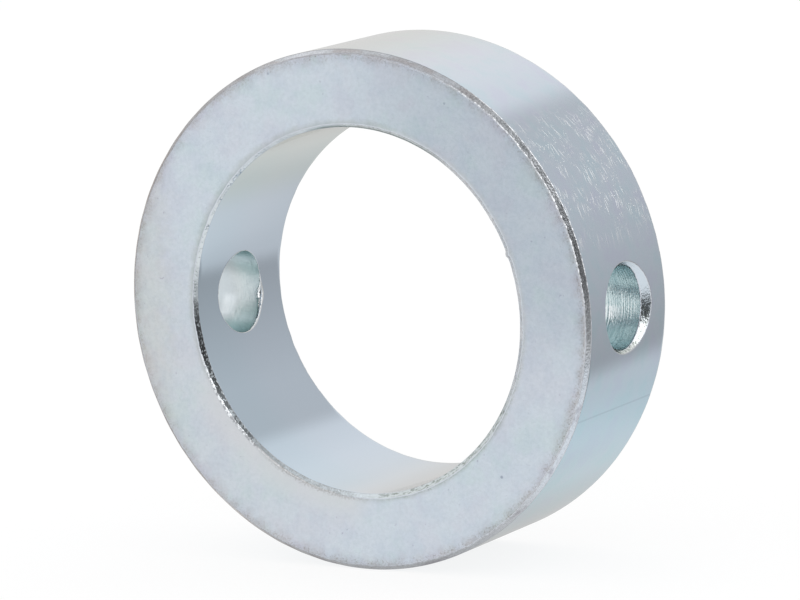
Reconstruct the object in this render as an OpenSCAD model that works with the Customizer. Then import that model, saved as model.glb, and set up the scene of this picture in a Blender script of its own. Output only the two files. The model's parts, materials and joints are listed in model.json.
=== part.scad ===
// One-piece shaft collar: a turned ring with a pin hole drilled straight through both walls.
// It slides over a shaft, and a pin through the hole and the shaft holds it in place.
// The origin is at the middle of the bore. The shaft runs along Y, the pin along X, and Z is up.

/* [Ring] */
// Outer diameter of the ring
outer_d = 50; // [44:0.5:80]
// Diameter of the shaft that the collar goes on
shaft_d = 35; // [16:0.5:40]
// How much wider than the shaft the bore is
bore_clearance = 0.2; // [0.05:0.05:0.6]
// Width of the ring along the shaft
width = 16; // [13:0.5:40]

/* [Turned edges] */
// Chamfer on the two outer rims
rim_chamfer = 0.4; // [0.1:0.1:1.5]
// Chamfer at the two ends of the bore
bore_chamfer = 0.3; // [0.1:0.1:1.5]

/* [Pin hole] */
// Diameter of the hole that crosses both walls
pin_hole_d = 8; // [3:0.5:10]
// How far the countersink widens the hole all round, at the crown of the rim
countersink_width = 0.75; // [0.1:0.05:1.2]
// Included angle of the countersink
countersink_angle = 90; // [60:5:120]

/* [Hidden] */
$fn = 180;

outer_r = outer_d / 2;
bore_r = (shaft_d + bore_clearance) / 2;
half_width = width / 2;
pin_hole_r = pin_hole_d / 2;
// How far a cutting tool runs past the metal, so that no skin is left.
overrun = 1;
// Slope of the countersink's cone: how much it widens for each millimetre outwards.
countersink_slope = tan(countersink_angle / 2);
// Depth of a countersink below the crown of the rim.
countersink_depth = countersink_width / countersink_slope;

// Cross-section of one side of the ring: radius across, shaft direction up.
module wall_section()
    polygon([
        [bore_r, -half_width + bore_chamfer],
        [bore_r + bore_chamfer, -half_width],
        [outer_r - rim_chamfer, -half_width],
        [outer_r, -half_width + rim_chamfer],
        [outer_r, half_width - rim_chamfer],
        [outer_r - rim_chamfer, half_width],
        [bore_r + bore_chamfer, half_width],
        [bore_r, half_width - bore_chamfer]
    ]);

// The ring as it leaves the lathe, before drilling.
module turned_ring()
    rotate([-90, 0, 0])
        rotate_extrude()
            wall_section();

// The drill's path: one straight cut through both walls.
module drilled_path()
    rotate([0, 90, 0])
        cylinder(r = pin_hole_r, h = outer_d + 2 * overrun, center = true);

// The countersink tool at the mouth on the +X side, its cone carried on past the rim.
module countersink() {
    cone_h = countersink_depth + overrun;
    translate([outer_r - countersink_depth, 0, 0])
        rotate([0, 90, 0])
            cylinder(r1 = pin_hole_r, r2 = pin_hole_r + cone_h * countersink_slope, h = cone_h);
}

module collar()
    color([0.76, 0.80, 0.84])
        difference() {
            turned_ring();
            drilled_path();
            for (mouth = [0, 180])
                rotate([0, 0, mouth])
                    countersink();
        }

collar();
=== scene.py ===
"""Zinc plated shaft collar: one turned ring, with a countersunk pin hole drilled through both walls.

The ring is one closed skin that replaces the plain CAD ring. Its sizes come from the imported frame,
and it adds what the plain ring lacks: broken edges, drill marks, a burr, and the plating itself.
Lengths are in millimetres until the mesh is made. The bore runs along Y, the pin hole along X.
"""

import json
import math

import bmesh
import bpy
import numpy as np
from mathutils import Matrix, Vector


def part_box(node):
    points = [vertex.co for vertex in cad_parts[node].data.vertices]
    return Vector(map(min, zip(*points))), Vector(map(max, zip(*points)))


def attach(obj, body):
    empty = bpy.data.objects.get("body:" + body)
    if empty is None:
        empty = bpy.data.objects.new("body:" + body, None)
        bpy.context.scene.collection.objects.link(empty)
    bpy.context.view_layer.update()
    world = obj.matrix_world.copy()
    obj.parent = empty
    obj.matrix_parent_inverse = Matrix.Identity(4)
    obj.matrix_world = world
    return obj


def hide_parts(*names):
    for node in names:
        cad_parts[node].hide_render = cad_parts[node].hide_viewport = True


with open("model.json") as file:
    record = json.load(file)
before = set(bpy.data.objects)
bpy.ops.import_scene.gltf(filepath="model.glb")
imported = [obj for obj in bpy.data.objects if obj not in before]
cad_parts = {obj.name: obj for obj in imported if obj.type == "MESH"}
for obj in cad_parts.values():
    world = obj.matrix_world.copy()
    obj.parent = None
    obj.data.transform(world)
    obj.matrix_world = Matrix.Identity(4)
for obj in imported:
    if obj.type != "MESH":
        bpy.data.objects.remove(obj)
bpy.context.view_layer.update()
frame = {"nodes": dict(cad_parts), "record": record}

# ---------- sizes taken from the frame
MM = 0.001
NODE = "collar"
ring_low, ring_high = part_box(NODE)
mount_sizes = {mount["name"]: mount["dims"] for mount in frame["record"]["mounts"]}

OUTER_R = (ring_high.x - ring_low.x) / 2 / MM
HALF_WIDTH = (ring_high.y - ring_low.y) / 2 / MM
BORE_R = mount_sizes["bore"]["r_mm"]
BORE_CHAMFER = HALF_WIDTH - mount_sizes["bore"]["length_mm"] / 2
HOLE_R = mount_sizes["pin_hole"]["r_mm"]
# The mount of the pin hole ends where the countersinks begin. They are 90 degree ones, so they
# widen by as much as they go out.
SINK_BOTTOM = mount_sizes["pin_hole"]["length_mm"] / 2
MOUTH_R = HOLE_R + OUTER_R - SINK_BOTTOM


def flat_face_radius():
    """Radius at which the CAD ring's flat front face meets its rim chamfer."""
    corners = np.array([vertex.co for vertex in frame["nodes"][NODE].data.vertices]) / MM
    tolerance = 0.001
    on_face = corners[corners[:, 1] < tolerance - HALF_WIDTH]
    return np.hypot(on_face[:, 0], on_face[:, 2]).max()


RIM_CHAMFER = OUTER_R - flat_face_radius()

# ---------- fineness of the skin
# Columns round the ring and points in each loop round the pin hole, and their angles.
COLUMNS = 480
LOOP_POINTS = 160
TURN = np.arange(COLUMNS) * 2 * math.pi / COLUMNS
ROUND_HOLE = np.arange(LOOP_POINTS) * 2 * math.pi / LOOP_POINTS
# Cells across a broken edge, from the end of a wall to the window that the pin hole has in it,
# from that window to the hole's edge, and down the countersink's cone.
EDGE_CELLS = 3
MARGIN_CELLS = 4
SPREAD_CELLS = 10
SINK_CELLS = 4
# Where the rows of a chamfer and of a face lie on the way from one edge to the other.
CHAMFER_ROWS = (0.07, 0.5, 0.93)
STRIP_ROWS = {
    "rim_chamfer": CHAMFER_ROWS,
    "bore_chamfer": CHAMFER_ROWS,
    "face": (0.04, 0.2, 0.4, 0.6, 0.8, 0.96),
}

# ---------- the ring's section and its wear
# The section is walked along the rim to the back, in over the back face, through the bore to the
# front, and out over the front face. Each surface has the zone of the edge before it, and how far
# that edge is broken.
SECTION = (
    ("rim", "rim_edge", 0.055),
    ("rim_chamfer", "rim_edge", 0.09),
    ("face", "rim_edge", 0.08),
    ("bore_chamfer", "edge", 0.05),
    ("bore", "edge", 0.06),
    ("bore_chamfer", "edge", 0.025),
    ("face", "edge", 0.05),
    ("rim_chamfer", "rim_edge", 0.08),
)
# The front face's place in the section, and the side of the middle on which each end lies.
FRONT_FACE = 6
FRONT = -1
BACK = 1
# Wear is given by its place round the bore's axis and its spread, both in degrees. Here comes how
# much further it breaks the edge before the front face.
FACE_EDGE_WEAR = (217, 15, 0.11)
# How uneven the chamfers are all round. In their wear come how much wider it makes the chamfer on
# the face and how much deeper on the wall.
CHAMFER_WOBBLE = 0.022
RIM_WEAR = ((168, 38, 0.0, 0.08),)
BORE_WEAR = {
    FRONT: (
        (197, 20, 0.16, 0.06),
        (150, 22, -0.07, 0.0),
        (96, 16, -0.03, -0.1),
        (290, 24, 0.07, -0.02),
    ),
    BACK: (),
}
# The same along the whole right side of the bore's front end.
RIGHT_WIDER = 0.12
RIGHT_DEEPER = -0.07
# Place, spread and height of the burr on the bore's front edge.
BURR = (19.8, 0.5, 0.2)


def wobble(angle, size, seed, slowest=3, fastest=70, count=14):
    """Smooth random unevenness round a full turn, about as large as size."""
    random = np.random.default_rng(seed)
    waves = random.integers(slowest, fastest, count)
    phases = random.uniform(0, 2 * math.pi, count)
    return size * np.cos(np.outer(angle, waves) + phases).sum(axis=1) / math.sqrt(count)


def bell(angle, place, spread, height):
    """A smooth bump at one place round a turn. The place and the spread are in degrees."""
    away = np.angle(np.exp(1j * (angle - math.radians(place))))
    return height * np.exp(-0.5 * (away / math.radians(spread)) ** 2)


# ---------- the skin of the ring
class Skin:
    """Collects the points, quads and zones of one closed surface, loop by loop."""

    def __init__(self):
        self.points = []
        self.quads = []
        self.zones = []
        self.count = 0

    def add_loop(self, points):
        """Adds the points of one loop and returns their numbers."""
        self.points.append(points)
        self.count += len(points)
        return np.arange(self.count - len(points), self.count)

    def places(self, loop):
        return np.vstack(self.points)[loop]

    def join(self, loop, other, zone, keep=slice(None)):
        """Fills the band between two loops with quads. keep says which ones are left in."""
        quads = np.stack([loop, np.roll(loop, -1), np.roll(other, -1), other], axis=-1)[keep]
        self.quads.append(quads)
        self.zones.append(np.full(len(quads), ZONES.index(zone)))


class Window:
    """The patch of a round wall that is left open for the pin hole to run into.

    It leaves the hole room beside it, along the turn, and above it, along the bore's axis.
    """

    def __init__(self, radius, hole_radius, beside, above):
        step = 2 * math.pi / COLUMNS
        self.columns = 2 * math.ceil(math.asin((hole_radius + beside) / radius) / step)
        self.rows = LOOP_POINTS // 2 - self.columns
        self.half_height = hole_radius + above
        self.loops = []

    def closed_cells(self):
        """Which cells of a loop are kept: all but those in the windows of the two holes."""
        keep = np.ones(COLUMNS, bool)
        for centre in (0, COLUMNS // 2):
            cells = centre + np.arange(self.columns) - self.columns // 2
            keep[cells % COLUMNS] = False
        return keep

    def border(self, side):
        """The window's outline, from the middle of its +Y side round by way of +Z."""
        around = np.arange(self.columns + 1) - self.columns // 2
        columns = around % COLUMNS if side > 0 else (COLUMNS // 2 - around) % COLUMNS
        grid = np.array([loop[columns] for loop in self.loops])
        middle = self.columns // 2
        over_top = [grid[-1, middle:], grid[-2::-1, -1], grid[0, -2::-1]]
        round_below = [grid[1:, 0], grid[-1, 1:middle]]
        return np.concatenate(over_top + round_below)


RIM_WINDOW = Window(OUTER_R, MOUTH_R, beside=1.25, above=1.85)
BORE_WINDOW = Window(BORE_R, HOLE_R, beside=1.0, above=1.8)


def worn_chamfer(size, seed, wear):
    """How far a chamfer reaches on the face and on the wall, uneven and worn round the ring."""
    on_face = size + wobble(TURN, CHAMFER_WOBBLE, seed)
    on_wall = size + wobble(TURN, CHAMFER_WOBBLE, seed + 1)
    for place, spread, wider, deeper in wear:
        on_face += bell(TURN, place, spread, wider)
        on_wall += bell(TURN, place, spread, deeper)
    return on_face, on_wall


def ring_corners():
    """The corners of the section in its order, as rows of radius and y round the turn."""
    ends = []
    for end in (FRONT, BACK):
        flat = np.full(COLUMNS, end * HALF_WIDTH)
        rim_on_face, rim_on_wall = worn_chamfer(RIM_CHAMFER, 10 + end, RIM_WEAR)
        bore_on_face, bore_on_wall = worn_chamfer(BORE_CHAMFER, 20 + end, BORE_WEAR[end])
        burr = np.zeros(COLUMNS)
        if end == FRONT:
            right = (0.6 + np.cos(TURN)).clip(0, 1)
            bore_on_face += RIGHT_WIDER * right
            bore_on_wall += RIGHT_DEEPER * right
            burr = bell(TURN, *BURR)
        ends.append(
            [
                (np.full(COLUMNS, OUTER_R), flat - end * rim_on_wall),
                (OUTER_R - rim_on_face, flat),
                (BORE_R + bore_on_face - burr, flat),
                (BORE_R - burr, flat - end * bore_on_wall),
            ]
        )
    front, back = ends
    return [np.array(corner) for corner in (front[0], *back, *reversed(front[1:]))]


def curve(first, middle, last, t):
    """Point at t on the curve that leaves first and reaches last, both aimed at middle."""
    return (1 - t) ** 2 * first + 2 * t * (1 - t) * middle + t * t * last


def rounded(before, corner, after, size):
    """Rows that break an edge, coming from the corner before and going on to the one after."""
    def toward(other):
        return corner + (other - corner) / np.hypot(*(other - corner)) * size

    steps = np.linspace(0, 1, EDGE_CELLS + 1)
    return [curve(toward(before), corner, toward(after), t) for t in steps]


def split(first, last, cells):
    """The rows that part the way from first to last into cells, without either end."""
    return [first + (last - first) * t for t in np.linspace(0, 1, cells + 1)[1:-1]]


def wall_rows(first, last, window):
    """Rows of a round wall, evenly spaced across its window, and how many come before it."""
    direction = np.sign(last[1] - first[1])
    start = np.array([first[0], -direction * window.half_height])
    stop = np.array([first[0], direction * window.half_height])
    before = split(first, start, MARGIN_CELLS)
    across = [start, *split(start, stop, window.rows), stop]
    after = split(stop, last, MARGIN_CELLS)
    return before + across + after, len(before)


def make_turned_ring(skin):
    """The lathe's surfaces: rim, faces, bore and the chamfers between them."""
    windows = {"rim": RIM_WINDOW, "bore": BORE_WINDOW}
    corners = ring_corners()
    sizes = [np.full(COLUMNS, size) for _, _, size in SECTION]
    sizes[FRONT_FACE] += bell(TURN, *FACE_EDGE_WEAR)
    edges = [
        rounded(corners[i - 1], corners[i], corners[(i + 1) % len(corners)], size)
        for i, size in enumerate(sizes)
    ]
    loops = []
    strips = []
    for i, (zone, edge_zone, _) in enumerate(SECTION):
        first = edges[i][-1]
        last = edges[(i + 1) % len(edges)][0]
        window = windows.get(zone)
        if window:
            rows, offset = wall_rows(first, last, window)
        else:
            rows = [first + (last - first) * t for t in STRIP_ROWS[zone]]
        new_loops = [skin.add_loop(turned(row)) for row in edges[i] + rows]
        names = [edge_zone] * EDGE_CELLS + [zone] * (len(rows) + 1)
        keeps = [slice(None)] * len(names)
        if window:
            start = len(edges[i]) + offset
            window.loops = new_loops[start : start + window.rows + 1]
            # A window's loops run from front to back, and the bore is walked the other way.
            if zone == "bore":
                window.loops.reverse()
            keeps[start : start + window.rows] = [window.closed_cells()] * window.rows
        loops += new_loops
        strips += zip(names, keeps)
    for i, (zone, keep) in enumerate(strips):
        skin.join(loops[i], loops[(i + 1) % len(loops)], zone, keep)


def turned(row):
    """One turn round the bore's axis for a row of radius and y."""
    radius, y = row
    return np.stack([radius * np.cos(TURN), y, radius * np.sin(TURN)], axis=-1)


# ---------- the pin hole in each wall
# A side is 1 for the +X wall and -1 for the -X wall. Cells along the drilled wall are fine on the
# side that shows its feed marks.
DRILL_CELLS = {1: 104, -1: 18}
# Pitch and depth of the spiral that the drill's feed left.
FEED_PITCH = 0.26
FEED_DEPTH = {1: 0.003, -1: 0.0004}
# How far the countersink's edges are broken at the side toward the back face, where it is most.
SINK_EDGE_ROUND = 0.1
# How far the bore's edge of the pin hole is broken all round.
HOLE_EDGE_ROUND = 0.04
# It is broken further where the drill came through last, and one side has a nick beside that:
# place round the hole and spread in degrees, and size.
BREAKOUT = {1: (-38, 26, 0.06), -1: (-38, 26, 0.24)}
NICK = {1: (-12, 9, 0.0), -1: (-12, 9, 0.36)}
# Height of the lip that the drill pushed out into the bore.
LIP_HEIGHT = {1: 0.02, -1: 0.06}


class HoleSide:
    """The pin hole in one wall."""

    def __init__(self, side):
        self.side = side
        self.across = np.cos(ROUND_HOLE)
        self.up = np.sin(ROUND_HOLE)

    def at(self, radius, depth):
        """Points round the hole at a radius from its axis and a distance from the bore's axis."""
        x = np.broadcast_to(self.side * depth, LOOP_POINTS)
        return np.stack([x, radius * self.across, radius * self.up], axis=-1)

    def on_wall(self, radius, wall_radius):
        """Points round the hole at a radius from its axis, on a round wall."""
        return self.at(radius, np.sqrt(wall_radius**2 - (radius * self.up) ** 2))

    def mouth_radius(self):
        """Where the countersink's cone runs out through the curved rim."""
        radius = np.full(LOOP_POINTS, MOUTH_R)
        # Each pass comes closer to where the cone meets the rim.
        for _ in range(20):
            depth = np.sqrt(OUTER_R**2 - (radius * self.up) ** 2)
            radius = HOLE_R + depth - SINK_BOTTOM
        return radius

    def spread(self, border, rim_points, wall_radius):
        """Loops on a round wall from a window's border in to the hole, spaced closer by the hole."""
        def unrolled(points):
            return np.array([np.arcsin(points[:, 2] / wall_radius), points[:, 1]])

        outside, inside = unrolled(border), unrolled(rim_points)
        loops = []
        for t in np.linspace(0, 1, SPREAD_CELLS + 1)[1:-1]:
            angle, y = outside + (inside - outside) * (1 - (1 - t) ** 1.5)
            x = self.side * wall_radius * np.cos(angle)
            loops.append(np.stack([x, y, wall_radius * np.sin(angle)], axis=-1))
        return loops

    def drilled_radius(self, depth):
        """Radius of the drilled wall with the spiral left by the drill's feed.

        The marks grow and fade round the hole and along it, and aren't spaced evenly.
        """
        turns = depth / FEED_PITCH + ROUND_HOLE / (2 * math.pi) + 0.25 * np.sin(depth * 4.7)
        strength = 1 + wobble(ROUND_HOLE, 0.5, 31, 2, 9) + 0.8 * np.sin(depth * 3.1)
        return HOLE_R + FEED_DEPTH[self.side] * strength * np.sin(2 * math.pi * turns)


def bend(first, middle, last):
    """The loops strictly between first and last on a broken edge."""
    return [curve(first, middle, last, t) for t in np.linspace(0, 1, EDGE_CELLS + 1)[1:-1]]


def make_hole(skin, side):
    """Joins the rim's window to the bore's window by the countersink and the drilled wall."""
    hole = HoleSide(side)
    sink_edge = SINK_EDGE_ROUND * (0.65 + 0.35 * hole.across)
    slant = sink_edge / math.sqrt(2)
    mouth = hole.mouth_radius()
    bore_depth = np.sqrt(BORE_R**2 - (HOLE_R * hole.up) ** 2)
    broken = HOLE_EDGE_ROUND + bell(ROUND_HOLE, *BREAKOUT[side]) + bell(ROUND_HOLE, *NICK[side])
    lip = LIP_HEIGHT[side] * (1 + wobble(ROUND_HOLE, 0.6, 40 + side, 1, 20)).clip(0)

    rim_edge = hole.on_wall(mouth + sink_edge, OUTER_R)
    cone_top = hole.at(mouth - slant, SINK_BOTTOM + mouth - slant - HOLE_R)
    cone_end = hole.at(HOLE_R + slant, SINK_BOTTOM + slant)
    drill_start = SINK_BOTTOM - sink_edge
    drill_end = bore_depth + broken
    wall_top = hole.at(HOLE_R, drill_start)
    wall_depths = split(drill_start, drill_end, DRILL_CELLS[side])
    wall_end = hole.at(HOLE_R, drill_end)
    bore_edge = hole.on_wall(HOLE_R + broken, BORE_R)

    rim_border = RIM_WINDOW.border(side)
    bore_border = BORE_WINDOW.border(side)
    stages = [
        ("rim", hole.spread(skin.places(rim_border), rim_edge, OUTER_R) + [rim_edge]),
        ("edge", bend(rim_edge, hole.on_wall(mouth, OUTER_R), cone_top) + [cone_top]),
        ("sink", split(cone_top, cone_end, SINK_CELLS) + [cone_end]),
        ("edge", bend(cone_end, hole.at(HOLE_R, SINK_BOTTOM), wall_top) + [wall_top]),
        ("drill", [hole.at(hole.drilled_radius(d), d) for d in wall_depths] + [wall_end]),
        ("edge", bend(wall_end, hole.at(HOLE_R - lip / 3, bore_depth - lip), bore_edge)),
        ("edge", [bore_edge]),
        ("bore", hole.spread(skin.places(bore_border), bore_edge, BORE_R)[::-1]),
    ]
    previous = rim_border
    for zone, places in stages:
        for points in places:
            loop = skin.add_loop(points)
            skin.join(previous, loop, zone)
            previous = loop
    skin.join(previous, bore_border, "bore")


def make_ring():
    """The whole ring as one closed mesh, with a material slot for each zone."""
    skin = Skin()
    make_turned_ring(skin)
    for side in (1, -1):
        make_hole(skin, side)
    quads = np.vstack(skin.quads)
    used, places = np.unique(quads, return_inverse=True)
    points = np.vstack(skin.points)[used] * MM
    mesh = bpy.data.meshes.new("plated_ring")
    mesh.from_pydata(points.tolist(), [], places.reshape(quads.shape).tolist())
    mesh.polygons.foreach_set("material_index", np.concatenate(skin.zones).astype(np.int32))
    mesh.polygons.foreach_set("use_smooth", np.ones(len(quads), bool))
    shell = bmesh.new()
    shell.from_mesh(mesh)
    bmesh.ops.recalc_face_normals(shell, faces=shell.faces)
    shell.to_mesh(mesh)
    shell.free()
    for make_material in MATERIALS.values():
        mesh.materials.append(make_material())
    ring = bpy.data.objects.new("plated_ring", mesh)
    bpy.context.scene.collection.objects.link(ring)
    return ring


# ---------- shader building blocks
def grey(level):
    return (level, level, level, 1.0)


def linear(display):
    """A linear colour from display values of 0 to 255."""
    shares = [value / 255 for value in display]
    parts = [v / 12.92 if v <= 0.04045 else ((v + 0.055) / 1.055) ** 2.4 for v in shares]
    return (*parts, 1.0)


class Graph:
    """Adds shader nodes to a tree and links them."""

    def __init__(self, tree):
        self.tree = tree
        self.tree.nodes.clear()

    def add(self, kind, inputs=(), output=0, **settings):
        """Adds a node, links or sets its inputs, and returns one of its outputs."""
        node = self.tree.nodes.new("ShaderNode" + kind)
        for name, value in settings.items():
            setattr(node, name, value)
        for name, value in dict(inputs).items():
            if isinstance(value, bpy.types.NodeSocket):
                self.tree.links.new(value, node.inputs[name])
            else:
                node.inputs[name].default_value = value
        return node.outputs[output] if node.outputs else node

    def math(self, operation, *values):
        return self.add("Math", dict(enumerate(values)), operation=operation)

    def times(self, first, second):
        return self.math("MULTIPLY", first, second)

    def plus(self, first, second):
        return self.math("ADD", first, second)

    def length(self, first, second):
        """Length of the flat vector that has these two parts."""
        squares = self.plus(self.times(first, first), self.times(second, second))
        return self.math("SQRT", squares)

    def degrees(self, operation, *values):
        """What an inverse trigonometric operation gives, in degrees."""
        return self.times(self.math(operation, *values), 180 / math.pi)

    def vector(self, operation, *values):
        return self.add("VectorMath", dict(enumerate(values)), operation=operation)

    def step(self, value, start, end, low=0.0, high=1.0):
        """Goes smoothly from low to high while value goes from start to end."""
        inputs = {"Value": value, "From Min": start, "From Max": end, "To Min": low, "To Max": high}
        return self.add("MapRange", inputs, interpolation_type="SMOOTHSTEP")

    def between(self, value, start, full, fading, end):
        """1 while value is from full to fading, 0 before start and after end, smooth between."""
        return self.times(self.step(value, start, full), self.step(value, end, fading))

    def levels(self, value, start, end, levels):
        """A grey that follows levels, a list of (value, grey) between start and end."""
        share = self.math("DIVIDE", self.math("SUBTRACT", value, start), end - start)
        tone = self.add("ValToRGB", {0: share})
        ramp = tone.node.color_ramp
        ramp.elements.remove(ramp.elements[1])
        for i, (at, level) in enumerate(levels):
            position = (at - start) / (end - start)
            element = ramp.elements.new(position) if i else ramp.elements[0]
            element.position = position
            element.color = grey(level)
        return tone

    def from_to(self, factor, low, high):
        """low where factor is 0 and high where it is 1."""
        return self.math("MULTIPLY_ADD", factor, high - low, low)

    def mix(self, factor, first, second, blend="MIX"):
        inputs = {0: factor, 6: first, 7: second}
        return self.add("Mix", inputs, output=2, data_type="RGBA", blend_type=blend)

    def noise(self, vector, scale, detail=2.0, roughness=0.5):
        inputs = {"Vector": vector, "Scale": scale, "Detail": detail, "Roughness": roughness}
        return self.add("TexNoise", inputs)

    def coordinates(self, kind):
        return self.tree.nodes.new("ShaderNodeTexCoord").outputs[kind]

    def in_reflections(self):
        """1 for what reflections see, and 0 for the rest."""
        return self.tree.nodes.new("ShaderNodeLightPath").outputs["Is Glossy Ray"]

    def separate(self, vector):
        node = self.tree.nodes.new("ShaderNodeSeparateXYZ")
        self.tree.links.new(vector, node.inputs[0])
        return node.outputs[:]

    def combine(self, x, y, z):
        return self.add("CombineXYZ", {0: x, 1: y, 2: z})


# Tint of the metal where it is seen at a grazing angle.
GRAZING_TINT = (0.95, 0.9, 0.86)


class Plating(Graph):
    """The material of one zone: bare metal with tints, grain and bump on top.

    x, y and z are in millimetres. radius and angle are taken round the bore's axis, and angle is
    in degrees, 0 on the right and 90 at the top. Colours are display values of 0 to 255.
    """

    def __init__(self, name, colour, roughness, grazing_tint=GRAZING_TINT):
        self.material = bpy.data.materials.new(name)
        self.material.use_nodes = True
        super().__init__(self.material.node_tree)
        self.place = self.vector("SCALE", self.coordinates("Object"))
        self.place.node.inputs["Scale"].default_value = 1 / MM
        self.x, self.y, self.z = self.separate(self.place)
        self.radius = self.length(self.x, self.z)
        self.angle = self.degrees("ARCTAN2", self.z, self.x)
        self.colour = linear(colour)
        self.roughness = roughness
        self.grazing_tint = grazing_tint
        self.bumps = []

    def pattern(self, scale, detail=2.0, roughness=0.5):
        """Noise that is fixed to the ring, with scale features to the millimetre."""
        return self.noise(self.place, scale, detail, roughness)

    def arc(self, start, full, fading, end):
        """1 on a stretch of the turn, with the same four marks as between."""
        return self.between(self.angle, start, full, fading, end)

    def radial(self, along, around):
        """Coordinates for streaks: along is their pace along the radius, around round the turn."""
        outward = self.vector("NORMALIZE", self.combine(self.x, 0.0, self.z))
        x, _, z = self.separate(outward)
        parts = (self.times(x, around), self.times(z, around), self.times(self.radius, along))
        return self.combine(*parts)

    def centred(self, value, size):
        """A noise value of 0 to 1 made into a length that varies about 0."""
        return self.times(self.math("SUBTRACT", value, 0.5), size)

    def roughened(self, length, *noises):
        """length made uneven by noises, each given as a noise value and a size."""
        for value, size in noises:
            length = self.plus(length, self.centred(value, size))
        return length

    def scattered(self, cell, share, edge, core):
        """1 at the core of a share of the cells, 0 beyond the edge, by distance from its middle."""
        distance = self.add("TexVoronoi", {"Vector": cell, "Scale": 1.0})
        chance = self.separate(distance.node.outputs["Color"])[0]
        chosen = self.math("LESS_THAN", chance, share)
        return self.times(chosen, self.step(distance, edge, core))

    def strokes(self, along, across, tilt, length, spacing, share, seed):
        """1 on short thin strokes scattered over a surface that is unrolled to along and across."""
        cos = math.cos(math.radians(tilt))
        sin = math.sin(math.radians(tilt))
        forward = self.plus(self.times(along, cos), self.times(across, sin))
        aside = self.math("SUBTRACT", self.times(across, cos), self.times(along, sin))
        parts = (self.math("DIVIDE", forward, length), self.math("DIVIDE", aside, spacing))
        return self.scattered(self.combine(*parts, 7.3 * seed), share, 0.34, 0.16)

    def pits(self, along, across, spacing, share, seed):
        """1 on sparse small round spots of a surface that is unrolled to along and across."""
        parts = (self.math("DIVIDE", along, spacing), self.math("DIVIDE", across, spacing))
        return self.scattered(self.combine(*parts, 5.7 * seed), share, 0.11, 0.04)

    def wear_and_highlight(self, elsewhere, upper_right):
        """A value that changes on the upper right, where handling wore the edges and a highlight is
        painted.
        """
        return self.from_to(self.arc(0, 12, 55, 67), elsewhere, upper_right)

    def shade(self, factor, colour):
        """Multiplies the colour so far by colour, as far as factor says."""
        self.colour = self.mix(factor, self.colour, linear(colour), "MULTIPLY")

    def paint(self, factor, colour):
        """Mixes the colour so far with colour, as far as factor says."""
        self.colour = self.mix(factor, self.colour, linear(colour))

    def bump(self, height, distance):
        """Adds relief. distance is its full height in millimetres."""
        self.bumps.append((height, distance))

    def finish(self):
        """Makes the surface from all that was set, and returns the material."""
        normal = None
        for height, distance in self.bumps:
            inputs = {"Height": height, "Distance": distance * MM, "Strength": 1.0}
            if normal:
                inputs["Normal"] = normal
            normal = self.add("Bump", inputs)
        inputs = {
            "Base Color": self.colour,
            "Metallic": 1.0,
            "Roughness": self.roughness,
            "Specular Tint": (*self.grazing_tint, 1.0),
        }
        if normal:
            inputs["Normal"] = normal
        surface = self.add("BsdfPrincipled", inputs)
        self.add("OutputMaterial", {"Surface": surface})
        return self.material


# ---------- the plating of each zone
def face_material():
    """Turned faces: cloudy zinc with fine specks, and a browner mottled margin at both edges."""
    made = Plating("face_plating", (204, 213, 222), 0.1, (1, 0.97, 0.92))
    mottle = made.pattern(0.9, 4, 0.65)
    grain = made.pattern(5, 3, 0.7)
    cloud_face(made)
    darken_outer_margin(made, mottle, grain)
    darken_inner_margin(made, mottle, grain)
    made.bump(made.pattern(1.4, 3, 0.5), 0.0015)
    return made.finish()


def cloud_face(made):
    """Clouds, two faint hues, a warmer lower left, a fine grain, specks and pits."""
    cloud = made.pattern(0.55, 4, 0.6)
    made.shade(made.step(cloud, 0.38, 0.66), (249, 250, 252))
    hue = made.pattern(0.22, 3, 0.6)
    made.shade(made.step(hue, 0.5, 0.62), (255, 252, 253))
    made.shade(made.step(hue, 0.48, 0.36), (251, 255, 252))
    warm = made.times(made.step(made.x, 2, -18), made.step(made.z, 12, -6))
    made.shade(warm, (254, 252, 250))
    fine = made.pattern(2.6, 4, 0.7)
    made.shade(made.step(fine, 0.35, 0.7), (247, 248, 248))
    speck = made.pattern(2.3, 3, 0.6)
    made.shade(made.step(speck, 0.69, 0.76), (228, 223, 230))
    made.shade(made.pits(made.x, made.z, 2.1, 0.16, 3), (206, 207, 213))


def darken_outer_margin(made, mottle, grain):
    """A soft wide band by the rim, a ragged brown one in it, and dark grains in that."""
    face_r = OUTER_R - RIM_CHAMFER
    soft = made.roughened(made.radius, (mottle, 3))
    made.shade(made.step(soft, face_r - 1.5, face_r + 0.2), (248, 245, 247))
    ragged = made.roughened(made.radius, (grain, 1.6), (mottle, 1))
    brown = made.step(ragged, face_r - 0.75, face_r + 0.15)
    made.shade(brown, (248, 246, 245))
    patch = made.step(made.pattern(0.6), 0.44, 0.56)
    wide = made.step(ragged, face_r - 1.5, face_r - 0.4)
    made.shade(made.times(patch, brown), (249, 247, 244))
    made.shade(made.times(patch, wide), (250, 249, 247))
    lower_right = made.arc(-60, -45, 6, 14)
    made.shade(made.times(brown, lower_right), (250, 249, 246))
    dark_grain = made.step(grain, 0.5, 0.66, 0, made.step(made.x, -18, -8, 0.4, 1))
    made.shade(made.times(brown, dark_grain), (216, 211, 205))
    far_left = made.step(made.roughened(made.x, (mottle, 5)), -19, -23)
    made.shade(far_left, (252, 250, 244))


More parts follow.
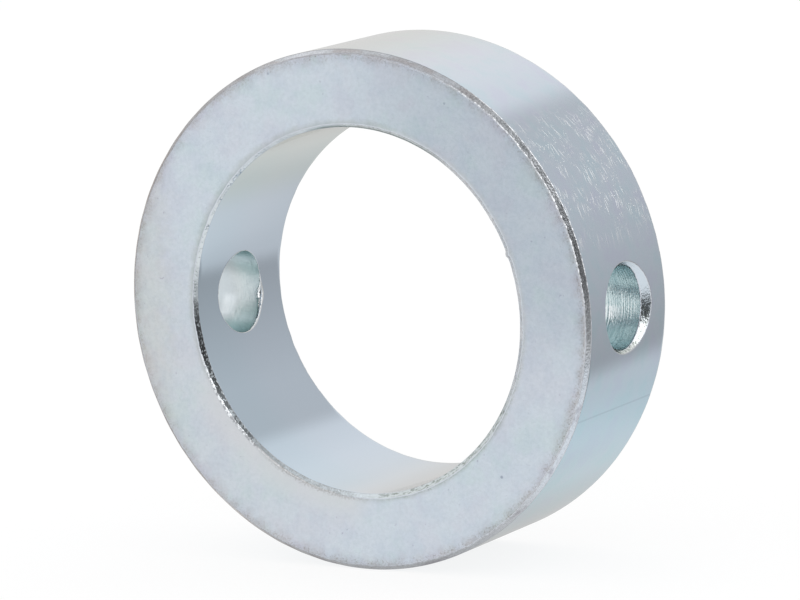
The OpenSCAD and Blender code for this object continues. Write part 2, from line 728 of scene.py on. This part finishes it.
def darken_inner_margin(made, mottle, grain):
    """A dull lower left, a mottled band by the bore, and a dark speckle along its lower edge."""
    face_r = BORE_R + BORE_CHAMFER
    lower_left = made.arc(-162, -150, -96, -86)
    dull = made.step(made.radius, face_r + 3.6, face_r + 0.3, 0, 0.65)
    made.paint(made.times(lower_left, dull), (209, 210, 212))
    soft = made.roughened(made.radius, (mottle, 1))
    band = made.step(soft, face_r + 0.75, face_r + 0.05)
    right = made.arc(-36, -20, 62, 88)
    made.shade(made.times(band, right), (254, 250, 245))
    elsewhere = made.step(made.math("MAXIMUM", lower_left, right), 1, 0)
    made.shade(made.times(band, elsewhere), (238, 237, 232))
    ragged = made.roughened(made.radius, (grain, 1.6))
    bottom = made.arc(-88, -74, -25, 10)
    made.shade(made.times(made.step(ragged, face_r + 0.45, face_r), bottom), (226, 230, 221))
    bottom_left = made.arc(-132, -118, -96, -84)
    made.shade(made.times(made.step(ragged, face_r + 0.5, face_r), bottom_left), (222, 219, 216))


# A faint line crosses the rim, this many degrees below the right side.
FAINT_LINE = 22.8
# The stretch of the rim that has scratches: where they start, are full, fade and end, in degrees.
SCRATCHED = (11, 21, 40, 50)
# Families of short scratches: tilt off the turning direction in degrees, length of a stroke and
# distance between strokes in millimetres, share of the places that have one, how crowded the spot
# must be, strength, and seed.
SCRATCHES = (
    (4, 3.2, 0.22, 0.18, 0.34, 1.0, 1),
    (-9, 2.0, 0.20, 0.28, 0.36, 1.0, 2),
    (17, 2.4, 0.20, 0.20, 0.38, 1.0, 3),
    (-24, 1.5, 0.20, 0.18, 0.40, 0.8, 4),
    (42, 1.2, 0.18, 0.14, 0.42, 0.7, 5),
    (0, 0.3, 0.22, 0.34, 0.42, 1.0, 6),
    (-14, 1.1, 0.17, 0.42, 0.36, 0.4, 7),
    (28, 0.9, 0.17, 0.36, 0.36, 0.4, 8),
)


def rim_material():
    """The turned rim: bluer below and greener on top, partly painted sheen, faintly blotched, and
    scratched by handling.
    """
    made = Plating("rim_plating", (201, 213, 226), 0.1)
    # Painted light: the rim lighter on the lower right, most at the front.
    front = made.step(made.y, 8, -3, 0.3, 1)
    low = made.arc(-66, -54, -42, -32)
    made.paint(made.times(low, front), (214, 226, 239))
    blotch = made.pattern(0.35, 3, 0.6)
    made.shade(made.step(blotch, 0.35, 0.5, 1, 0), (249, 255, 254))
    made.shade(made.step(blotch, 0.5, 0.65), (255, 251, 255))
    # Partly the plating's own tint and partly a painted iridescent sheen: bluer below, greener on
    # top.
    made.shade(made.arc(-165, -95, -28, -4), (230, 251, 255))
    made.shade(made.arc(68, 86, 110, 150), (250, 255, 249))
    # Painted shade: the rim darker at the bottom.
    made.shade(made.arc(-150, -100, -65, -55), (242, 242, 241))
    from_line = made.math("ABSOLUTE", made.plus(made.angle, FAINT_LINE))
    made.shade(made.step(from_line, 0.35, 0.1, 0, 0.8), (238, 236, 238))
    along = made.times(made.angle, math.radians(OUTER_R))
    cluster = made.pattern(0.42, 1)
    strongest = 0.0
    for tilt, length, spacing, share, crowd, strength, seed in SCRATCHES:
        family = made.strokes(along, made.y, tilt, length, spacing, share, seed)
        where = made.step(cluster, crowd, crowd + 0.12, 0.1 * strength, strength)
        strongest = made.math("MAXIMUM", strongest, made.times(family, where))
    scratches_and_glints = made.times(strongest, made.arc(*SCRATCHED))
    # Real scratches, painted lighter as a highlight of the light they scatter.
    made.paint(scratches_and_glints, (240, 244, 247))
    made.roughness = made.from_to(scratches_and_glints, 0.1, 0.55)
    made.bump(scratches_and_glints, 0.012)
    made.bump(made.pattern(0.5), 0.003)
    return made.finish()


def bore_material():
    """The bore: reamed smooth, a little greener towards the front, with painted light and shade."""
    made = Plating("bore_plating", (197, 209, 222), 0.1, (0.93, 0.9, 0.86))
    made.shade(made.step(made.y, 2, -5), (250, 254, 254))
    # Partly a yellow-green tint and partly painted shade, on the upper left.
    made.shade(made.arc(100, 112, 138, 152), (248, 249, 240))
    # Painted light: the bore lighter low down.
    made.paint(made.arc(-104, -88, -60, -50), (205, 215, 226))
    made.bump(made.pattern(0.5), 0.003)
    return made.finish()


def rim_chamfer_material():
    """Rim chamfers: dull, grainy and brown-mottled like the face's margin, with painted light."""
    made = Plating("rim_chamfer_plating", (202, 206, 211), 0.27)
    # Painted light: the chamfer lighter on the upper right, from the top round to the left, and on
    # the lower right.
    made.paint(made.arc(54, 64, 72, 82), (211, 216, 223))
    made.paint(made.step(made.angle, 91, 102), (212, 216, 221))
    made.paint(made.arc(-52, -34, -12, -5), (209, 217, 226))
    streak = made.noise(made.radial(1.6, OUTER_R / 3), 0.9, 3, 0.6)
    low = made.step(made.angle, -4, -12)
    made.shade(made.times(low, made.step(streak, 0.5, 0.62)), (226, 222, 224))
    top = made.step(made.angle, 48, 60)
    made.shade(made.times(top, made.step(streak, 0.46, 0.6)), (238, 231, 228))
    made.paint(made.times(top, made.step(streak, 0.48, 0.36)), (218, 221, 227))
    mottle = made.pattern(0.9, 4, 0.65)
    left = made.step(made.x, -6, -16)
    brown = made.times(left, made.step(mottle, 0.6, 0.35, 0.4, 1))
    made.shade(brown, (244, 239, 235))
    grain = made.pattern(5, 1, 0.6)
    made.shade(made.step(grain, 0.52, 0.38, 0, made.wear_and_highlight(0.3, 0.8)), (205, 205, 205))
    made.bump(grain, 0.03)
    return made.finish()


def bore_chamfer_material():
    """Bore chamfers: bright and glittering on the left, dashed below, duller on the right."""
    made = Plating("bore_chamfer_plating", (220, 229, 235), 0.1, (0.95, 0.93, 0.9))
    # Painted shade: the chamfer darker on the lower left, the left and the upper left.
    made.shade(made.arc(-150, -138, -126, -116), (228, 228, 228))
    made.shade(made.arc(-180.5, -179.5, -160, -150), (203, 203, 203))
    made.shade(made.arc(130, 142, 166, 176), (243, 242, 240))
    low = made.arc(-92, -78, -34, -15)
    made.shade(low, (240, 239, 235))
    dashes = made.noise(made.radial(4, BORE_R), 1.5, 2, 0.7)
    made.shade(made.times(low, made.step(dashes, 0.46, 0.6)), (190, 192, 186))
    right = made.arc(-32, -14, 84, 100)
    made.roughness = made.from_to(right, 0.1, 0.35)
    # Painted light: the chamfer lighter on the right.
    made.paint(right, (234, 237, 240))
    grain = made.step(made.pattern(4.6, 2, 0.7), 0.45, 0.6)
    made.shade(made.times(right, grain), (236, 233, 233))
    speckled = made.arc(-136, -126, -100, -86)
    made.shade(made.times(speckled, grain), (228, 226, 224))
    # Painted shade at the top, darkest on the bore's side.
    inner = made.step(made.radius, BORE_R + 0.22, BORE_R + 0.08)
    top = made.arc(50, 64, 98, 106)
    made.shade(top, (236, 240, 240))
    made.shade(made.times(top, inner), (196, 200, 196))
    hatch = made.noise(made.radial(1.5, BORE_R), 3.4, 2, 0.6)
    made.bump(made.step(hatch, 0.52, 0.7), 0.014)
    return made.finish()


def rim_edge_material():
    """Broken edges of the rim: burnished by handling and with a painted highlight on the upper
    right, dull elsewhere.
    """
    made = Plating("rim_edge_plating", (206, 212, 220), 0.16)
    made.roughness = made.wear_and_highlight(0.3, 0.15)
    glint = made.step(made.pattern(3.2, 2, 0.6), 0.42, 0.56)
    gap = made.step(glint, 1, 0)
    # Painted highlight: bright glints on the upper right, with darker gaps between them.
    made.paint(made.times(glint, made.wear_and_highlight(0, 1)), (245, 248, 252))
    made.paint(made.times(gap, made.wear_and_highlight(0, 0.8)), (180, 182, 186))
    # Painted shade that dims the edges' reflections at the top, on the wall side and on the face
    # side.
    on_wall = made.step(made.radius, OUTER_R - 0.3, OUTER_R - 0.1)
    made.shade(made.times(on_wall, made.step(made.angle, 50, 62)), (214, 214, 214))
    on_face = made.step(on_wall, 1, 0)
    made.shade(made.times(on_face, made.step(made.angle, 65, 73)), (238, 236, 236))
    grain = made.pattern(2.6, 4, 0.7)
    dull = made.times(made.step(grain, 0.7, 0.35), made.wear_and_highlight(1, 0))
    made.shade(dull, (230, 226, 224))
    made.bump(made.pattern(4, 1, 0.6), 0.08)
    return made.finish()


def edge_material():
    """Broken edges of the bore and the holes: glittering on the lower left, a painted highlight at
    the left hole.
    """
    made = Plating("edge_plating", (206, 212, 220), 0.14)
    made.paint(made.arc(-172, -150, -108, -92), (170, 173, 177))
    made.paint(made.arc(-134, -122, -108, -92), (226, 228, 231))
    glint = made.step(made.pattern(3.2, 2, 0.6), 0.42, 0.56)
    glittering = made.arc(-172, -150, -138, -122)
    made.paint(made.times(glint, glittering), (240, 244, 248))
    duller = made.arc(-130, -118, -100, -88)
    made.shade(made.times(glint, duller), (226, 226, 224))
    grain = made.step(made.pattern(4.6, 2, 0.7), 0.45, 0.6)
    speckled = made.arc(-130, -118, -100, -86)
    made.shade(made.times(speckled, grain), (226, 224, 222))
    # Painted highlight on the edge round the left hole.
    near_hole = made.step(made.math("ABSOLUTE", made.y), 6.5, 5.5)
    on_left = made.step(made.x, -15, -17)
    made.paint(made.times(near_hole, on_left), (232, 236, 238))
    made.bump(made.pattern(4, 1, 0.6), 0.05)
    return made.finish()


def sink_material():
    """Countersinks: cut smooth, with a painted highlight on the lower half, and pitted there."""
    made = Plating("sink_plating", (204, 215, 224), 0.12, (0.97, 0.97, 0.95))
    # Painted highlight: the lower half lighter.
    made.paint(made.step(made.z, -0.6, -3), (240, 245, 243))
    pitted = made.step(made.pattern(5, 2, 0.7), 0.5, 0.64)
    made.paint(made.times(pitted, made.step(made.z, -0.2, -0.9)), (150, 159, 155))
    made.bump(made.pattern(6, 1, 0.6), 0.035)
    return made.finish()


def drill_material():
    """Drilled walls: a paler base that is partly painted light, and feed marks that show in the hole
    on the right.
    """
    # The paler base colour is partly painted light that brightens the holes.
    made = Plating("drill_plating", (226, 235, 236), 0.24, (0.93, 0.96, 0.97))
    right = made.step(made.x, -5, 5)
    made.shade(right, (248, 254, 255))
    left = made.step(made.x, 0, -5)
    made.shade(left, (250, 247, 248))
    made.roughness = made.from_to(left, 0.24, 0.3)
    tint_left_hole(made, left)
    tint_right_hole(made, right)
    made.bump(made.pattern(1.2, 2, 0.6), 0.02)
    pitted = made.pattern(3.6, 2, 0.6)
    made.bump(made.times(pitted, right), 0.024)
    ringed = made.combine(made.times(made.x, 4), made.y, made.z)
    made.bump(made.noise(ringed, 1.5, 2, 0.6), 0.01)
    return made.finish()


def tint_left_hole(made, left):
    """Duller far in, paler near the bore, a bright spot, greener above and below: painted light and
    shade.
    """
    # Painted shade far in, and painted light toward the bore.
    made.shade(made.step(made.x, -19.8, -21.8), (243, 246, 249))
    made.paint(made.between(made.x, -20.6, -19.3, -5, 0), (235, 243, 244))
    # Painted highlight: one bright spot.
    far_in = made.between(made.x, -22.1, -21.4, -20.7, -19.9)
    low = made.between(made.z, -3, -2.6, -1.5, -0.6)
    made.paint(made.times(far_in, low), (236, 243, 247))
    # Painted shade: darker and greener above and below.
    ends = made.step(made.math("ABSOLUTE", made.z), 2.8, 3.8)
    made.shade(made.times(ends, left), (208, 225, 222))


def tint_right_hole(made, right):
    """Pale flecks, painted light in a band and at the mouth, painted shade above and below, and
    lines round the wall.
    """
    fleck = made.step(made.pattern(4.6, 2, 0.7), 0.56, 0.7)
    low_fleck = made.times(fleck, made.step(made.z, 1, -1))
    made.paint(made.times(low_fleck, right), (252, 253, 253))
    # Painted light: a lighter band below the middle, and a lighter mouth.
    band = made.between(made.z, -2, -1.4, -0.8, -0.4)
    made.paint(made.times(band, right), (248, 252, 254))
    made.paint(made.step(made.x, 21, 23.6, 0, 0.8), (243, 250, 251))
    # Painted shade: darker above and below, and deeper in.
    made.shade(made.times(right, made.step(made.z, 1.9, 2.9)), (238, 243, 244))
    made.shade(made.times(right, made.step(made.z, -1.9, -2.9)), (248, 250, 250))
    made.shade(made.between(made.x, 5, 10, 19, 20.8), (236, 239, 240))
    across = made.combine(made.times(made.x, 4), 0, made.times(made.z, 0.4))
    lines = made.step(made.noise(across, 1, 2, 0.6), 0.48, 0.62)
    made.shade(made.times(lines, right), (232, 238, 239))


# The zones of the skin, in the order of the mesh's material slots.
MATERIALS = {
    "face": face_material,
    "rim": rim_material,
    "bore": bore_material,
    "rim_chamfer": rim_chamfer_material,
    "bore_chamfer": bore_chamfer_material,
    "rim_edge": rim_edge_material,
    "edge": edge_material,
    "sink": sink_material,
    "drill": drill_material,
}
ZONES = list(MATERIALS)


# ---------- the light tent
WHITE = grey(1.0)
# Soft round patches of the surround: direction, inner and outer angle in degrees, brightness.
SOFT_PATCHES = (
    ((0.15, -0.45, 0.88), 15, 50, 0.68),
    ((-0.45, 0.1, -0.9), 5, 55, 0.60),
    ((-0.85, 0.45, -0.1), 30, 60, 0.60),
)
# Small bright lamps, given in the same way.
LAMPS = (
    ((0.76, 0.10, 0.63), 25, 31, 1.5),
    ((0.35, -0.89, 0.30), 10, 14, 1.7),
)
# A dark flag in front on the right: the bearings in degrees where it starts, is full, fades and
# ends, and how much it dims the surround, by elevation in degrees.
FLAG_BEARINGS = (-62, -55, -14, -8)
FLAG_LEVELS = (
    (-28, 1.0),
    (-22, 0.75),
    (-14, 0.4),
    (-8, 0.18),
    (0, 0.09),
    (12, 0.08),
    (20, 0.13),
    (28, 0.25),
    (46, 0.34),
    (60, 1.0),
)
# The panel behind the ring: how far a direction points back where it fades in, and its
# brightness by the angle round the bore's axis.
PANEL_FADE = (0.55, 0.66)
PANEL_LEVELS = (
    (-180, 0.80),
    (-152, 0.66),
    (-138, 0.79),
    (-124, 0.88),
    (-110, 0.87),
    (-96, 0.82),
    (-80, 0.77),
    (-56, 0.78),
    (-38, 0.76),
    (70, 0.90),
    (92, 0.98),
    (110, 1.04),
    (130, 1.04),
    (150, 0.98),
    (180, 0.80),
)


def make_world():
    """A white surround. Metal sees a few soft panels in it, as in a light tent."""
    world = bpy.data.worlds.new("studio")
    bpy.context.scene.world = world
    world.use_nodes = True
    graph = Graph(world.node_tree)
    direction = graph.coordinates("Generated")
    x, y, z = graph.separate(direction)

    def add_spots(seen, spots):
        """Lays round spots over seen: full within the inner angle, gone beyond the outer one."""
        for axis, inner, outer, level in spots:
            inputs = {0: direction, 1: Vector(axis).normalized()}
            along = graph.add("VectorMath", inputs, output=1, operation="DOT_PRODUCT")
            limits = [math.cos(math.radians(angle)) for angle in (outer, inner)]
            seen = graph.mix(graph.step(along, *limits), seen, grey(level))
        return seen

    seen = add_spots(WHITE, SOFT_PATCHES)
    panel = graph.levels(graph.degrees("ARCTAN2", z, x), -180, 180, PANEL_LEVELS)
    seen = graph.mix(graph.step(y, *PANEL_FADE), seen, panel)
    flag = graph.levels(graph.degrees("ARCSINE", z), -90, 90, FLAG_LEVELS)
    dimmed = graph.vector("MULTIPLY", seen, flag)
    beside = graph.between(graph.degrees("ARCTAN2", y, x), *FLAG_BEARINGS)
    seen = graph.mix(beside, seen, dimmed)
    seen = add_spots(seen, LAMPS)

    light = graph.mix(graph.in_reflections(), WHITE, seen)
    background = graph.add("Background", {"Color": light, "Strength": 1.0})
    graph.add("OutputWorld", {"Surface": background})


# ---------- cards and floor
# How far the camera and the front card are rolled about the bore's axis, in degrees.
LEAN = 3.2
# Each card stands across the bore's axis, at a distance behind (+) or in front (-) of the middle
# of the ring. Its sides are given as left, right, bottom and top.
BACK_CARD_Y = 256
BACK_CARD = (-60, 620, -300, 460)
FRONT_CARD_Y = -264
FRONT_CARD = (-143.8, -92, -58.9, -4)
FRONT_CARD_COLOUR = (0.82, 0.833, 0.845, 1.0)
# The back card is lit on the right of both these lines: start, direction, softness.
BACK_CARD_LINES = (
    ((3, 136), (-200, 392), 14),
    ((15.2, 136), (1, 1.72), 20),
)
# Its brightness at the height of the ring's middle, how much that grows in a metre, and its limit.
BACK_CARD_LEVEL = 0.59
BACK_CARD_RISE = 1.12
BACK_CARD_LIMIT = 0.705
# How far the floor reaches each way in metres, its own colour, and how much it lights itself.
FLOOR_REACH = 6.0
FLOOR_COLOUR = grey(0.16)
FLOOR_GLOW = 0.85
# In reflections the floor is only a pool of painted shadow round the ring, darkest close to it: its
# width along X as a share of its length along Y, the distances and levels between which it gets
# brighter, and where it ends.
SHADOW_POOL_SHAPE = 0.6
SHADOW_POOL_BRIGHTENS = (4, 30, 0.6, 0.95)
SHADOW_POOL_ENDS = (45, 20)
# The painted shadow fades out forwards, under the front face, between these values of y in metres.
SHADOW_POOL_FRONT = (-0.012, -0.004)


def surface_material(name, look):
    """A material whose surface is made by look from an empty graph."""
    material = bpy.data.materials.new(name)
    material.use_nodes = True
    graph = Graph(material.node_tree)
    graph.add("OutputMaterial", {"Surface": look(graph)})
    return material


def stage_sheet(name, corners, material):
    """A flat piece of the studio with four corners, in metres."""
    mesh = bpy.data.meshes.new(name)
    mesh.from_pydata(corners, [], [(0, 1, 2, 3)])
    mesh.materials.append(material)
    thing = bpy.data.objects.new(name, mesh)
    bpy.context.scene.collection.objects.link(thing)
    return thing


def make_card(name, y, corners, look):
    """A lit card that only reflections show. Its corners are x and z in millimetres."""
    places = [Vector((x, y, z)) * MM for x, z in corners]
    card = stage_sheet(name, places, surface_material(name, look))
    for ray in ("camera", "diffuse", "shadow", "transmission", "volume_scatter"):
        setattr(card, "visible_" + ray, False)


def card_corners(left, right, bottom, top):
    return [(left, bottom), (right, bottom), (right, top), (left, top)]


def leaned(x, z):
    """x and z rolled about the bore's axis as the camera is."""
    cos = math.cos(math.radians(LEAN))
    sin = math.sin(math.radians(LEAN))
    return x * cos + z * sin, z * cos - x * sin


def right_of(graph, x, z, start, direction, softness):
    """1 on the right of a line, 0 on its left. x and z are in metres, the line in millimetres."""
    line = Vector(direction).normalized()
    across = graph.plus(graph.times(x, line.y / MM), graph.times(z, -line.x / MM))
    offset = start[1] * line.x - start[0] * line.y
    return graph.step(graph.plus(across, offset), -softness, softness)


def back_card_look(graph):
    x, _, z = graph.separate(graph.coordinates("Object"))
    lit = graph.times(*(right_of(graph, x, z, *line) for line in BACK_CARD_LINES))
    level = graph.math("MULTIPLY_ADD", z, BACK_CARD_RISE, BACK_CARD_LEVEL)
    glow = graph.add("Emission", {"Strength": graph.math("MINIMUM", level, BACK_CARD_LIMIT)})
    return graph.add("MixShader", {0: lit, 1: graph.add("BsdfTransparent"), 2: glow})


def front_card_look(graph):
    return graph.add("Emission", {"Color": FRONT_CARD_COLOUR})


def make_cards():
    """A grey card behind the ring for the rim and the bore, and one in front for the face."""
    make_card("back_card", BACK_CARD_Y, card_corners(*BACK_CARD), back_card_look)
    corners = [leaned(x, z) for x, z in card_corners(*FRONT_CARD)]
    make_card("front_card", FRONT_CARD_Y, corners, front_card_look)


def floor_look(graph):
    """Pale, and lit a little by itself so that its shadow stays soft. Reflections see the painted
    shadow pool.
    """
    diffuse = graph.add("BsdfDiffuse", {"Color": FLOOR_COLOUR})
    emission = graph.add("Emission", {"Color": WHITE, "Strength": FLOOR_GLOW})
    lit = graph.add("AddShader", {0: diffuse, 1: emission})
    x, y, _ = graph.separate(graph.coordinates("Object"))
    away = graph.length(graph.times(x, 1 / MM), graph.times(y, SHADOW_POOL_SHAPE / MM))
    shadow_pool = graph.add("Emission", {"Strength": graph.step(away, *SHADOW_POOL_BRIGHTENS)})
    near = graph.times(graph.step(away, *SHADOW_POOL_ENDS), graph.step(y, *SHADOW_POOL_FRONT))
    clear = graph.add("BsdfTransparent")
    reflected = graph.add("MixShader", {0: near, 1: clear, 2: shadow_pool})
    return graph.add("MixShader", {0: graph.in_reflections(), 1: lit, 2: reflected})


def make_floor():
    """A pale floor under the ring."""
    ways = ((-1, -1), (1, -1), (1, 1), (-1, 1))
    corners = [(FLOOR_REACH * x, FLOOR_REACH * y, ring_low.z) for x, y in ways]
    stage_sheet("floor", corners, surface_material("floor_white", floor_look))


# ---------- the camera
FOCAL_LENGTH = 230.56
SENSOR_WIDTH = 36.0
# It stands to the right of the bore's axis by the azimuth and above it by the elevation, both in
# degrees, and aims a little to the right of the ring's middle and below it, in millimetres.
AZIMUTH = 29.4538
ELEVATION = 10.7658
DISTANCE = 491.65
AIM_RIGHT = 0.353
AIM_BELOW = 0.194


def make_camera():
    data = bpy.data.cameras.new("camera")
    data.sensor_width = SENSOR_WIDTH
    data.lens = FOCAL_LENGTH
    data.clip_end = 20.0
    camera = bpy.data.objects.new("camera", data)
    bpy.context.scene.collection.objects.link(camera)
    bpy.context.scene.camera = camera
    azimuth = math.radians(AZIMUTH)
    elevation = math.radians(ELEVATION)
    level = math.cos(elevation)
    right = Vector((math.cos(azimuth), math.sin(azimuth), 0))
    outward = Vector((math.sin(azimuth) * level, -math.cos(azimuth) * level, math.sin(elevation)))
    target = right * (AIM_RIGHT * MM) - outward.cross(right) * (AIM_BELOW * MM)
    place = outward * (DISTANCE * MM)
    away = (place - target).normalized()
    side = Vector((0, 0, 1)).cross(away).normalized()
    matrix = Matrix((side, away.cross(side), away)).transposed().to_4x4()
    matrix.translation = place
    camera.matrix_world = Matrix.Rotation(math.radians(LEAN), 4, "Y") @ matrix


# ---------- the scene
bpy.context.scene.view_settings.view_transform = "Standard"
ring = make_ring()
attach(ring, "root")
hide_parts(NODE)
make_world()
make_cards()
make_floor()
make_camera()
